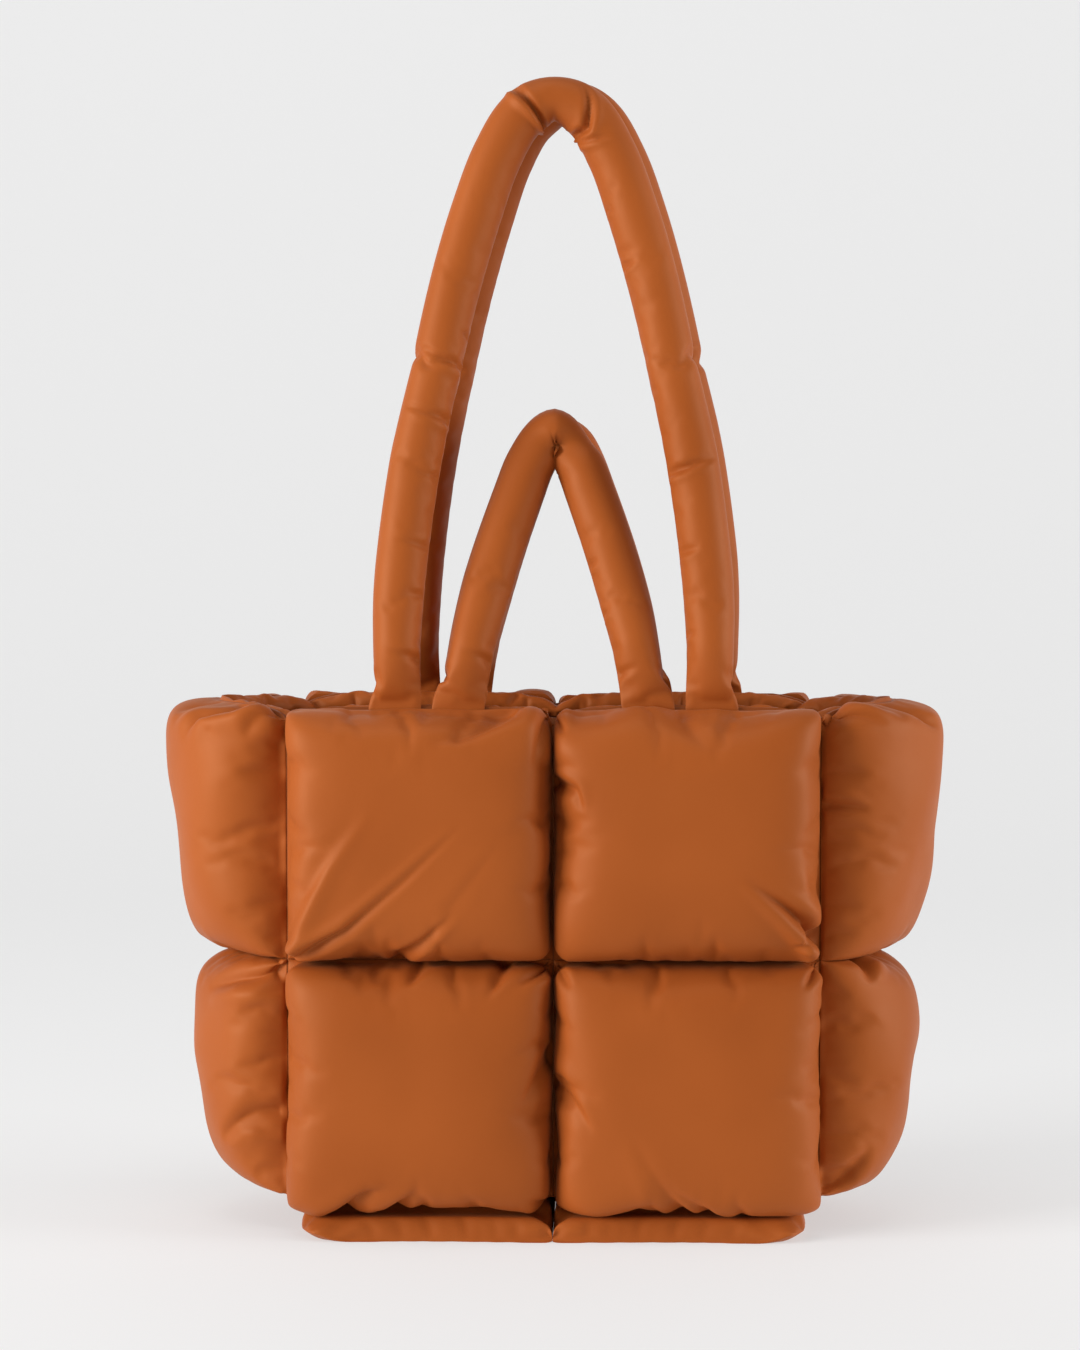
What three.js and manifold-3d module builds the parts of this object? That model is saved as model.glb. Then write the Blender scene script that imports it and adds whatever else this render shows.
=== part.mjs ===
// A quilted puffer tote bag: plump square pads on a cloth lining, side gussets that fold outwards, a padded
// base, and a long and a short padded handle on each side. Millimetres, +Z up, the front towards -Y, and the
// origin on the floor under the middle of the bag.
import * as THREE from "three";
import { mergeVertices } from "three/addons/utils/BufferGeometryUtils.js";
import Module from "manifold-3d";

// The body
const PANEL_WIDTH = 332; // front and back panels, two pads wide
const MOUTH_DEPTH = 124; // between the front and back of the lining, outside
const RIM_HEIGHT = 330; // floor to the sewn rim
const ROW_SEAM_HEIGHT = 172; // floor to the seam between the lower and upper pads
const GUSSET_REACH = 50; // how far the gusset's fold stands out of the panels' ends at the rim
const LINING_WALL = 1.6;
const CLEARANCE = 0.3; // gap between pieces that touch
const CUT_ALLOWANCE = 2.5; // how far a pad's blank reaches into the lining before it is cut to fit

// The pads
const PANEL_CROWN = 42; // thickness of a front or back pad at its middle
const GUSSET_CROWN = 36;
const SEAM_THICKNESS = 3; // a pad's thickness at its stitched edge
const BASE_PAD_THICKNESS = 22;
const BASE_PAD_OVERHANG = 36; // how far the base pads show in front of the lining and behind it
const BASE_FOOT_SHARE = 0.8; // share of the overhang that lies flat on the floor
const BASE_PAD_INSET = 6; // how far the base pads stop short of the panels' ends
const BASE_END_ROUNDING = 16; // how far a base pad's rounded outer end draws in
const BASE_SEAM_ROUNDING = 5; // and its end at the middle seam

// The handles
const HANDLE_DIAMETER = 32;
const LONG_HANDLE_DROP = 378; // rim to the centreline's top
const SHORT_HANDLE_DROP = 167;
const SHORT_HANDLE_SPACING = 118; // between the centres of the short handle's legs at the rim
const LEG_GAP = 7.5; // between a short leg and the long leg beside it, at the rim
const BACK_LONG_HANDLE_SHIFT = 6; // how far right of the front one the back long handle is sewn
const TAB_THICKNESS = 3; // a handle's flattened end, sewn in between the pad and the lining
const TAB_WIDTH = 33;
const TAB_DEPTH = 18; // how far the end is sewn in below the rim
const FLARE_HEIGHT = 42; // height above the rim where a handle has its full thickness
const PINCH_SHARE = 0.86; // how much of its width a short handle keeps where it folds at the top

// How full a pad is towards its edges: 2 is a round cushion, larger is boxier.
const PANEL_FULLNESS = 3;
const GUSSET_FULLNESS = 2.8;
const BASE_FULLNESS = 4;
// How round the gusset's fold is: 1 is a sharp crease, 2 is a smooth bow.
const FOLD_ROUNDNESS = 1.45;

// Mesh steps
const PAD_STEPS = 12;
const GUSSET_STEPS_AROUND = 12;
const GUSSET_STEPS_UP = 10;
const BASE_STEPS = 8;
const BASE_STEPS_UP = 4;
const LINING_STEPS_PER_SIDE = 8;
const LINING_STEPS_UP = 8;
const HANDLE_SIDES = 10;
const LONG_HANDLE_STEPS = 40;
const SHORT_HANDLE_STEPS = 34;

const liningBottom = BASE_PAD_THICKNESS + CLEARANCE;
const padBottom = liningBottom + CLEARANCE;
const tabRoom = TAB_THICKNESS + CLEARANCE;
const halfWidth = PANEL_WIDTH / 2;
const halfDepth = MOUTH_DEPTH / 2;

// The gusset's reach at heights up its wall: shares of the wall's height and of GUSSET_REACH.
const GUSSET_PROFILE = [
  { height: 0, reach: 0 },
  { height: 0.12, reach: 0.3 },
  { height: 0.26, reach: 0.46 },
  { height: 0.49, reach: 0.58 },
  { height: 0.74, reach: 0.7 },
  { height: 1, reach: 1 },
];

// A handle's centreline from the rim to the top: shares of its drop and of half its legs' spacing.
const LONG_HANDLE_ROUTE = [
  { rise: 0.106, spread: 0.99 },
  { rise: 0.238, spread: 0.95 },
  { rise: 0.405, spread: 0.86 },
  { rise: 0.571, spread: 0.73 },
  { rise: 0.69, spread: 0.62 },
  { rise: 0.815, spread: 0.48 },
  { rise: 0.907, spread: 0.355 },
  { rise: 0.974, spread: 0.2 },
  { rise: 1, spread: 0 },
];
const SHORT_HANDLE_ROUTE = [
  { rise: 0.21, spread: 0.88 },
  { rise: 0.4, spread: 0.73 },
  { rise: 0.585, spread: 0.57 },
  { rise: 0.78, spread: 0.38 },
  { rise: 0.9, spread: 0.255 },
  { rise: 0.972, spread: 0.14 },
  { rise: 1, spread: 0 },
];

// Creases across a handle: where along it from its left end, and how deep, as a share of its thickness.
const LONG_HANDLE_CREASES = [
  { along: 0.13, depth: 0.08 },
  { along: 0.24, depth: 0.1 },
  { along: 0.46, depth: 0.16 },
  { along: 0.54, depth: 0.2 },
  { along: 0.66, depth: 0.08 },
  { along: 0.79, depth: 0.08 },
];
const SHORT_HANDLE_CREASES = [
  { along: 0.26, depth: 0.08 },
  { along: 0.72, depth: 0.08 },
];
const CREASE_LENGTH = 11;

// Folds in the pads, from and to shares of the pad's width and height. Depth is a share of its thickness.
const FOLDS = {
  front_upper_left_pad: [
    { from: [0.04, 0.05], to: [0.62, 0.53], width: 0.06, depth: 0.13 },
    { from: [0.42, 0.02], to: [0.6, 0.22], width: 0.05, depth: 0.1 },
    { from: [0.5, 0.88], to: [0.95, 0.99], width: 0.05, depth: 0.1 },
  ],
  front_upper_right_pad: [
    { from: [0.7, 0.36], to: [0.98, 0.07], width: 0.07, depth: 0.16 },
    { from: [0.02, 0.66], to: [0.12, 0.6], width: 0.07, depth: 0.12 },
  ],
  front_lower_left_pad: [
    { from: [0.18, 0.03], to: [0.5, 0.17], width: 0.06, depth: 0.1 },
    { from: [0.9, 0.98], to: [0.78, 0.8], width: 0.06, depth: 0.1 },
  ],
  front_lower_right_pad: [
    { from: [0.3, 0.36], to: [0.5, 0.03], width: 0.06, depth: 0.1 },
    { from: [0.02, 0.5], to: [0.2, 0.32], width: 0.06, depth: 0.09 },
  ],
  back_upper_left_pad: [{ from: [0.96, 0.05], to: [0.5, 0.46], width: 0.06, depth: 0.12 }],
  back_upper_right_pad: [{ from: [0.05, 0.06], to: [0.4, 0.5], width: 0.06, depth: 0.12 }],
  back_lower_left_pad: [{ from: [0.7, 0.03], to: [0.5, 0.3], width: 0.06, depth: 0.1 }],
  back_lower_right_pad: [{ from: [0.05, 0.95], to: [0.3, 0.7], width: 0.06, depth: 0.1 }],
  left_upper_gusset_pad: [{ from: [0.96, 0.97], to: [0.62, 0.84], width: 0.06, depth: 0.16 }],
  left_lower_gusset_pad: [{ from: [0.98, 0.93], to: [0.6, 0.82], width: 0.06, depth: 0.16 }],
  right_upper_gusset_pad: [{ from: [0.04, 0.97], to: [0.3, 0.86], width: 0.06, depth: 0.14 }],
  right_lower_gusset_pad: [{ from: [0.03, 0.1], to: [0.3, 0.26], width: 0.06, depth: 0.14 }],
};
// Gathers where a pad's cloth is drawn into its seams
const GATHERS_PER_EDGE = 4;
const GATHER_DEPTH = 0.1; // share of the pad's thickness
const GATHER_REACH = 0.16; // share of the pad's width that they run in from the seam

const wasm = await Module();
wasm.setup();

const clamp01 = (x) => Math.min(1, Math.max(0, x));
const smooth = (x) => THREE.MathUtils.smoothstep(x, 0, 1);

// Reads a smooth curve through a table's rows: column `given` is the input and column `wanted` the output.
function tableCurve(rows, given, wanted) {
  const curve = new THREE.CubicInterpolant(
    rows.map((row) => row[given]),
    rows.map((row) => row[wanted]),
    1,
  );
  return (x) => curve.evaluate(x)[0];
}
const gussetReachShare = tableCurve(GUSSET_PROFILE, "height", "reach");

function gussetReach(z) {
  const height = clamp01((z - liningBottom) / (RIM_HEIGHT - liningBottom));
  return GUSSET_REACH * gussetReachShare(height);
}

// A point of the lining's outside. Side 0 is the front, 1 the right gusset, 2 the back and 3 the left gusset,
// each followed by `along` from 0 to 1, anticlockwise seen from above.
function wallPoint(side, along, z, inset = 0) {
  const across = 2 * along - 1;
  const facing = side < 2 ? 1 : -1;
  if (side % 2 === 0) {
    return new THREE.Vector3(facing * across * (halfWidth - inset), -facing * (halfDepth - inset), z);
  }
  const fold = gussetReach(z) * (1 - Math.abs(across) ** FOLD_ROUNDNESS);
  return new THREE.Vector3(facing * (halfWidth - inset + fold), facing * across * (halfDepth - inset), z);
}

// The unit vector pointing out of a surface given as a function of two shares.
function outwardNormal(surface, u, v) {
  const step = 0.004;
  const [u0, u1] = [Math.max(0, u - step), Math.min(1, u + step)];
  const [v0, v1] = [Math.max(0, v - step), Math.min(1, v + step)];
  const alongU = surface(u1, v).sub(surface(u0, v));
  const alongV = surface(u, v1).sub(surface(u, v0));
  return alongU.cross(alongV).normalize();
}

// Moves each vertex of a box or cylinder geometry and welds the result into one closed mesh.
function reshape(geometry, move) {
  const shaped = geometry.clone();
  shaped.deleteAttribute("normal");
  shaped.deleteAttribute("uv");
  shaped.clearGroups();
  const position = shaped.getAttribute("position");
  const point = new THREE.Vector3();
  for (let i = 0; i < position.count; i++) {
    const moved = move(point.fromBufferAttribute(position, i));
    position.setXYZ(i, moved.x, moved.y, moved.z);
  }
  return mergeVertices(shaped, 1e-4);
}

// Draws evenly spaced steps a little closer together near the seams.
function seamwards(share) {
  return 0.45 * share + 0.55 * (0.5 - 0.5 * Math.cos(Math.PI * share));
}

// How plump a pad is at a share of its width: 0 at its seams and 1 in the middle.
function plumpness(share, fullness) {
  return (1 - Math.abs(2 * share - 1) ** fullness) ** (1 / fullness);
}

function distanceToSegment(u, v, from, to) {
  const line = new THREE.Line3(new THREE.Vector3(...from, 0), new THREE.Vector3(...to, 0));
  const point = new THREE.Vector3(u, v, 0);
  return line.closestPointToPoint(point, true, new THREE.Vector3()).distanceTo(point);
}

// The share of its thickness that a pad keeps under its folds and gathers.
function foldedShare(u, v, folds) {
  let kept = 1;
  for (const { from, to, width, depth } of folds) {
    const near = Math.exp(-((distanceToSegment(u, v, from, to) / width) ** 2));
    kept -= depth * near;
  }
  const wave = (share) => 0.5 - 0.5 * Math.cos(2 * Math.PI * GATHERS_PER_EDGE * share);
  const nearSeam = (share) => smooth(1 - Math.min(share, 1 - share) / GATHER_REACH);
  return kept - GATHER_DEPTH * Math.max(nearSeam(v) * wave(u), nearSeam(u) * wave(v));
}

// A pad on the lining: its inner face is cut to the lining's shape and its outer face is crowned. `standOff` says
// how far the pad stands off the lining at a height.
function padGeometry(surface, { steps, crown, fullness, folds, standOff = () => 0 }) {
  const box = new THREE.BoxGeometry(1, 1, 1, steps[0], steps[1], 1);
  const blank = reshape(box, (corner) => {
    const u = seamwards(corner.x + 0.5);
    const v = seamwards(corner.y + 0.5);
    const foot = surface(u, v);
    const off = standOff(foot.z);
    const plump = plumpness(u, fullness) * plumpness(v, fullness) * foldedShare(u, v, folds);
    const thickness = SEAM_THICKNESS + (crown - SEAM_THICKNESS) * plump;
    const sunk = THREE.MathUtils.lerp(-CUT_ALLOWANCE, CLEARANCE, Math.min(1, off / tabRoom));
    const distance = corner.z > 0 ? CLEARANCE + off + thickness : sunk + off;
    return foot.addScaledVector(outwardNormal(surface, u, v), distance);
  });
  return geometryFrom(solidFrom(blank).subtract(liningAndGap));
}

// The two rows of pads up a wall, each a gap clear of the seam.
const ROWS = [
  { name: "lower", low: padBottom, high: ROW_SEAM_HEIGHT - CLEARANCE / 2 },
  { name: "upper", low: ROW_SEAM_HEIGHT + CLEARANCE / 2, high: RIM_HEIGHT },
];

// Room for the handles' sewn ends: how far a panel pad stands off the lining near the rim.
function roomForTabs(z) {
  const start = RIM_HEIGHT - 2 * TAB_DEPTH;
  return tabRoom * smooth(clamp01((z - start) / (0.8 * TAB_DEPTH)));
}

const liningAndGap = solidFrom(bagForm(liningBottom, RIM_HEIGHT, -CLEARANCE));

// One pad of the front or back panel. Column 0 is on the left when that panel is looked at from outside.
function panelPad(side, column, row, name) {
  const surface = (u, v) => {
    const z = THREE.MathUtils.lerp(row.low, row.high, v);
    const gap = CLEARANCE / PANEL_WIDTH;
    const along = THREE.MathUtils.lerp(0.5 * column + gap, 0.5 * column + 0.5 - gap, u);
    return wallPoint(side, along, z);
  };
  return padGeometry(surface, {
    steps: [PAD_STEPS, PAD_STEPS],
    crown: PANEL_CROWN,
    fullness: PANEL_FULLNESS,
    folds: FOLDS[name],
    standOff: roomForTabs,
  });
}

function gussetPad(side, row, name) {
  const gap = CLEARANCE / MOUTH_DEPTH;
  const surface = (u, v) =>
    wallPoint(side, THREE.MathUtils.lerp(gap, 1 - gap, u), THREE.MathUtils.lerp(row.low, row.high, v));
  return padGeometry(surface, {
    steps: [GUSSET_STEPS_AROUND, GUSSET_STEPS_UP],
    crown: GUSSET_CROWN,
    fullness: GUSSET_FULLNESS,
    folds: FOLDS[name],
  });
}

// A base pad lies flat between the lining and the floor, with stuffed, rounded edges. Column 0 is the left one.
function basePad(column) {
  const hand = column === 0 ? -1 : 1;
  const box = new THREE.BoxGeometry(1, 1, 1, BASE_STEPS, BASE_STEPS, BASE_STEPS_UP);
  return reshape(box, (corner) => {
    const u = seamwards(corner.x + 0.5);
    const v = seamwards(corner.y + 0.5);
    const bow = Math.sqrt(1 - (2 * corner.z) ** 2);
    const fullEnd = bow * plumpness(v, BASE_FULLNESS);
    const inner = CLEARANCE / 2 + BASE_SEAM_ROUNDING * (1 - fullEnd);
    const outer = halfWidth - BASE_PAD_INSET - BASE_END_ROUNDING * (1 - fullEnd);
    const x = hand * THREE.MathUtils.lerp(inner, outer, hand > 0 ? u : 1 - u);
    const overhang = BASE_PAD_OVERHANG * THREE.MathUtils.lerp(BASE_FOOT_SHARE, 1, bow);
    const y = (2 * v - 1) * (halfDepth + overhang * plumpness(u, BASE_FULLNESS));
    return new THREE.Vector3(x, y, BASE_PAD_THICKNESS * (corner.z + 0.5));
  });
}

function solidFrom(geometry) {
  return new wasm.Manifold(
    new wasm.Mesh({
      numProp: 3,
      vertProperties: new Float32Array(geometry.getAttribute("position").array),
      triVerts: new Uint32Array(geometry.index.array),
    }),
  );
}

function geometryFrom(solid) {
  const mesh = solid.getMesh();
  const geometry = new THREE.BufferGeometry();
  geometry.setAttribute("position", new THREE.BufferAttribute(mesh.vertProperties, 3));
  geometry.setIndex(new THREE.BufferAttribute(mesh.triVerts, 1));
  return geometry;
}

// A closed form with the bag's outline from one height to another.
function bagForm(low, high, inset) {
  const cylinder = new THREE.CylinderGeometry(1, 1, 1, 4 * LINING_STEPS_PER_SIDE, LINING_STEPS_UP);
  return reshape(cylinder, (corner) => {
    const z = THREE.MathUtils.lerp(low, high, corner.y + 0.5);
    if (Math.hypot(corner.x, corner.z) < 0.5) return new THREE.Vector3(0, 0, z);
    const turn = Math.atan2(corner.x, corner.z) / (2 * Math.PI);
    const steps = Math.round((turn + 1.125) * 4 * LINING_STEPS_PER_SIDE);
    const side = Math.floor(steps / LINING_STEPS_PER_SIDE) % 4;
    return wallPoint(side, (steps % LINING_STEPS_PER_SIDE) / LINING_STEPS_PER_SIDE, z, inset);
  });
}

// The lining is an open-topped bag of cloth.
function liningGeometry() {
  const outside = solidFrom(bagForm(liningBottom, RIM_HEIGHT, 0));
  const inside = solidFrom(bagForm(liningBottom + LINING_WALL, RIM_HEIGHT + LINING_WALL, LINING_WALL));
  return geometryFrom(outside.subtract(inside));
}

// A handle's centreline: up from the left sewn end, over the top and down to the right one.
function handleRoute(facing, { middle, halfSpacing, drop, rows }) {
  const rimY = halfDepth + CLEARANCE + TAB_THICKNESS / 2;
  const topY = HANDLE_DIAMETER / 2 + CLEARANCE / 2;
  const place = (hand, rise, spread) =>
    new THREE.Vector3(
      middle + hand * halfSpacing * spread,
      facing * THREE.MathUtils.lerp(rimY, topY, clamp01(rise)),
      RIM_HEIGHT + drop * rise,
    );
  const leg = (hand) => [
    place(hand, -TAB_DEPTH / drop, 1),
    place(hand, -0.5 * (TAB_DEPTH / drop), 1),
    place(hand, 0, 1),
    ...rows.map(({ rise, spread }) => place(hand, rise, spread)),
  ];
  const left = leg(-1);
  const right = leg(1).reverse().slice(1);
  return new THREE.CatmullRomCurve3([...left, ...right], false, "centripetal");
}

// Where a handle's section lies: the first and last steps span the sewn ends and the others are even.
function sectionPlace(share, steps, length) {
  const sewn = (TAB_DEPTH + CLEARANCE) / length;
  const step = 1 / steps;
  if (share < step) return (share / step) * sewn;
  if (share > 1 - step) return 1 - ((1 - share) / step) * sewn;
  return THREE.MathUtils.mapLinear(share, step, 1 - step, sewn, 1 - sewn);
}

// A padded tube along its route, flat at both sewn ends, with a crease at each row of its table.
function handleGeometry(facing, { steps, creases, pinch, ...loop }) {
  const route = handleRoute(facing, loop);
  route.arcLengthDivisions = 800;
  const length = route.getLength();
  const cylinder = new THREE.CylinderGeometry(1, 1, 1, HANDLE_SIDES, steps);
  return reshape(cylinder, (corner) => {
    const along = sectionPlace(corner.y + 0.5, steps, length);
    const centre = route.getPointAt(along);
    const tangent = route.getTangentAt(along);
    const depthwards = new THREE.Vector3(0, 1, 0).projectOnPlane(tangent).normalize();
    const sidewards = new THREE.Vector3().crossVectors(tangent, depthwards);
    const full = smooth(clamp01((centre.z - RIM_HEIGHT - CLEARANCE) / FLARE_HEIGHT));
    let kept = 1;
    for (const crease of creases) {
      kept -= crease.depth * Math.exp(-((((along - crease.along) * length) / CREASE_LENGTH) ** 2));
    }
    const atTop = Math.exp(-((((along - 0.5) * length) / (1.4 * HANDLE_DIAMETER)) ** 2));
    const narrowed = 1 - (1 - pinch) * atTop;
    const halfWide = 0.5 * THREE.MathUtils.lerp(TAB_WIDTH, HANDLE_DIAMETER * narrowed * kept, full);
    const halfThick = 0.5 * THREE.MathUtils.lerp(TAB_THICKNESS, HANDLE_DIAMETER * kept, full);
    return centre
      .addScaledVector(sidewards, corner.x * halfWide)
      .addScaledVector(depthwards, corner.z * halfThick);
  });
}

const puffCloth = new THREE.MeshStandardMaterial({ color: 0xb05a22, roughness: 0.55, metalness: 0 });
const liningCloth = new THREE.MeshStandardMaterial({ color: 0x8f4a1e, roughness: 0.75, metalness: 0 });

const bag = new THREE.Group();
function addPiece(name, geometry, material = puffCloth) {
  geometry.computeVertexNormals();
  const mesh = new THREE.Mesh(geometry, material);
  mesh.name = name;
  bag.add(mesh);
}

addPiece("lining", liningGeometry(), liningCloth);

for (const row of ROWS) {
  for (const [side, panel] of [[0, "front"], [2, "back"]]) {
    ["left", "right"].forEach((hand, column) => {
      const name = `${panel}_${row.name}_${hand}_pad`;
      addPiece(name, panelPad(side, column, row, name));
    });
  }
  for (const [side, hand] of [[3, "left"], [1, "right"]]) {
    const name = `${hand}_${row.name}_gusset_pad`;
    addPiece(name, gussetPad(side, row, name));
  }
}
["left", "right"].forEach((hand, column) => addPiece(`base_${hand}_pad`, basePad(column)));

const shortHalfSpacing = SHORT_HANDLE_SPACING / 2;
const SHORT_HANDLE = {
  middle: 0,
  halfSpacing: shortHalfSpacing,
  drop: SHORT_HANDLE_DROP,
  rows: SHORT_HANDLE_ROUTE,
  steps: SHORT_HANDLE_STEPS,
  creases: SHORT_HANDLE_CREASES,
  pinch: PINCH_SHARE,
};
const LONG_HANDLE = {
  middle: 0,
  halfSpacing: shortHalfSpacing + HANDLE_DIAMETER + LEG_GAP,
  drop: LONG_HANDLE_DROP,
  rows: LONG_HANDLE_ROUTE,
  steps: LONG_HANDLE_STEPS,
  creases: LONG_HANDLE_CREASES,
  pinch: 1,
};
addPiece("front_long_handle", handleGeometry(-1, LONG_HANDLE));
addPiece("front_short_handle", handleGeometry(-1, SHORT_HANDLE));
addPiece("back_long_handle", handleGeometry(1, { ...LONG_HANDLE, middle: BACK_LONG_HANDLE_SHIFT }));
addPiece("back_short_handle", handleGeometry(1, SHORT_HANDLE));

export default bag;
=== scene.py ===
"""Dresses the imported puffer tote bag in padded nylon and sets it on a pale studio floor. Metres, +Z up."""

import math

import bmesh
import bpy
import numpy as np
from bpy.props import FloatProperty, FloatVectorProperty, IntProperty, PointerProperty
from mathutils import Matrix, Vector, noise


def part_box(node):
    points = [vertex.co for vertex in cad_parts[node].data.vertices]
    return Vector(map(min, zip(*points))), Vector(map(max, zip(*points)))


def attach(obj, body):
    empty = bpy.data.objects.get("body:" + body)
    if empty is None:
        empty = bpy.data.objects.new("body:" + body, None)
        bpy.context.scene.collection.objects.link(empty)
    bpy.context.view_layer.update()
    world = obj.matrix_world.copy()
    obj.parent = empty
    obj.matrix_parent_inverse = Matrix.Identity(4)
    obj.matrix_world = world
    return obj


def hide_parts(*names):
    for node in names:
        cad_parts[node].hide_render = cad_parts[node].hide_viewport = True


bl_info = {
    "name": "Puffer tote bag",
    "version": (1, 0, 0),
    "blender": (4, 5, 0),
    "location": "View3D > Sidebar > Puffer tote",
    "description": "Dresses the packed puffer tote bag in padded nylon",
    "category": "Object",
}

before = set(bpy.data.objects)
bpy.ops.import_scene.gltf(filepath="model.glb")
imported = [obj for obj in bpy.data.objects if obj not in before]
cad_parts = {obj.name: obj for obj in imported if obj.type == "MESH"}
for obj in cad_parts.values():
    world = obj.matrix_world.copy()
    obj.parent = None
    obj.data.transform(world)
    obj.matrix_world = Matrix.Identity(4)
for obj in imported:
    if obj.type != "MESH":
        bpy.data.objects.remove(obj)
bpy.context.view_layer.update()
lining_low, lining_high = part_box("lining")
front_pad_low, front_pad_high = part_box("front_upper_right_pad")


class ToteSizes(bpy.types.PropertyGroup):
    """The bag's sizes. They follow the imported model."""

    panel_width: FloatProperty(
        name="Panel width", description="Width of the front and back panels", default=0.332, unit="LENGTH"
    )
    mouth_depth: FloatProperty(
        name="Mouth depth", description="Front to back over the lining", default=0.124, unit="LENGTH"
    )
    rim_height: FloatProperty(
        name="Rim height", description="Floor to the sewn rim", default=lining_high.z, unit="LENGTH"
    )
    row_seam_height: FloatProperty(
        name="Row seam height", description="Floor to the seam between the two rows of pads", default=0.172,
        unit="LENGTH",
    )
    lining_bottom: FloatProperty(
        name="Lining bottom", description="Floor to the underside of the lining", default=lining_low.z, unit="LENGTH"
    )
    gusset_reach: FloatProperty(
        name="Gusset reach", description="How far the gusset's fold stands out at the rim", default=0.05,
        unit="LENGTH",
    )
    panel_crown: FloatProperty(
        name="Panel crown", description="Thickness of a front or back pad", default=0.042, unit="LENGTH"
    )
    gusset_crown: FloatProperty(
        name="Gusset crown", description="Thickness of a gusset pad", default=0.036, unit="LENGTH"
    )
    base_thickness: FloatProperty(
        name="Base thickness", description="Thickness of the base pads", default=0.022, unit="LENGTH"
    )
    base_overhang: FloatProperty(
        name="Base overhang", description="How far the base pads show in front of the lining", default=0.036,
        unit="LENGTH",
    )
    tab_room: FloatProperty(
        name="Tab room", description="Space between lining and pad for a handle's sewn end", default=0.0033,
        unit="LENGTH",
    )
    facing_depth: FloatProperty(
        name="Facing depth", description="Rim to the facing's stitch line", default=0.013, unit="LENGTH"
    )
    handle_diameter: FloatProperty(
        name="Handle diameter", description="Thickness of the padded handles", default=0.032, unit="LENGTH"
    )
    long_drop: FloatProperty(
        name="Long handle drop", description="Rim to the top of the long handle's centreline", default=0.378,
        unit="LENGTH",
    )
    short_drop: FloatProperty(
        name="Short handle drop", description="Rim to the top of the short handle's centreline", default=0.167,
        unit="LENGTH",
    )
    short_spacing: FloatProperty(
        name="Short handle spacing", description="Between the short handle's legs at the rim", default=0.118,
        unit="LENGTH",
    )
    leg_gap: FloatProperty(
        name="Leg gap", description="Between a short leg and the long leg beside it", default=0.0075, unit="LENGTH"
    )
    back_handle_shift: FloatProperty(
        name="Back handle shift", description="How far right of the front one the back long handle is sewn",
        default=0.006, unit="LENGTH",
    )


class TotePuff(bpy.types.PropertyGroup):
    """How the padded pieces are blown up."""

    pressure: FloatProperty(name="Pressure", description="Pressure of the filling on the cloth", default=10.0)
    middle_growth: FloatProperty(
        name="Middle growth", description="Spare cloth over a pad's middle", default=0.05, subtype="FACTOR"
    )
    seam_growth: FloatProperty(
        name="Seam growth", description="Spare cloth gathered into a pad's seams", default=0.24, subtype="FACTOR"
    )
    gather_reach: FloatProperty(
        name="Gather reach", description="How far the gathers run in from a seam", default=0.022, unit="LENGTH"
    )
    frames: IntProperty(name="Frames", description="Steps of the cloth simulation", default=24)
    pad_steps: IntProperty(name="Pad steps", description="Faces across a panel pad before subdivision", default=52)
    gusset_steps: IntProperty(name="Gusset steps", description="The same across a gusset pad", default=46)


class ToteColours(bpy.types.PropertyGroup):
    """The cloth's colours, in linear light."""

    nylon: FloatVectorProperty(
        name="Nylon", description="Colour of the pads and handles", subtype="COLOR", size=3,
        default=(0.328, 0.0715, 0.0105), min=0, max=1,
    )
    nylon_light: FloatVectorProperty(
        name="Light nylon", description="Colour where the cloth is stretched thin", subtype="COLOR", size=3,
        default=(0.37, 0.084, 0.0135), min=0, max=1,
    )
    lining: FloatVectorProperty(
        name="Lining", description="Colour of the lining", subtype="COLOR", size=3, default=(0.24, 0.05, 0.008),
        min=0, max=1,
    )
    floor: FloatVectorProperty(
        name="Floor", description="Colour of the studio floor", subtype="COLOR", size=3,
        default=(0.37, 0.37, 0.37), min=0, max=1,
    )


# The gusset's reach at heights up its wall, as shares of the wall's height and of the reach at the rim
GUSSET_PROFILE = [
    {"height": 0.0, "reach": 0.0},
    {"height": 0.12, "reach": 0.3},
    {"height": 0.26, "reach": 0.46},
    {"height": 0.49, "reach": 0.58},
    {"height": 0.74, "reach": 0.7},
    {"height": 1.0, "reach": 1.0},
]
FOLD_ROUNDNESS = 1.45  # 1 is a sharp crease down the gusset's middle, 2 a smooth bow
CLEARANCE = 0.0003

# A handle's centreline from the rim to the top, as shares of its drop and of half its legs' spacing
LONG_ROUTE = [
    {"rise": 0.106, "spread": 0.99},
    {"rise": 0.238, "spread": 0.95},
    {"rise": 0.405, "spread": 0.86},
    {"rise": 0.571, "spread": 0.73},
    {"rise": 0.69, "spread": 0.62},
    {"rise": 0.815, "spread": 0.48},
    {"rise": 0.907, "spread": 0.355},
    {"rise": 0.974, "spread": 0.2},
    {"rise": 1.0, "spread": 0.0},
]
SHORT_ROUTE = [
    {"rise": 0.21, "spread": 0.88},
    {"rise": 0.4, "spread": 0.73},
    {"rise": 0.585, "spread": 0.57},
    {"rise": 0.78, "spread": 0.38},
    {"rise": 0.9, "spread": 0.255},
    {"rise": 0.972, "spread": 0.14},
    {"rise": 1.0, "spread": 0.0},
]


def sizes():
    return bpy.context.scene.tote_sizes


def puff():
    return bpy.context.scene.tote_puff


def colours():
    return bpy.context.scene.tote_colours


def smooth(x):
    x = min(1.0, max(0.0, x))
    return x * x * (3 - 2 * x)


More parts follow.
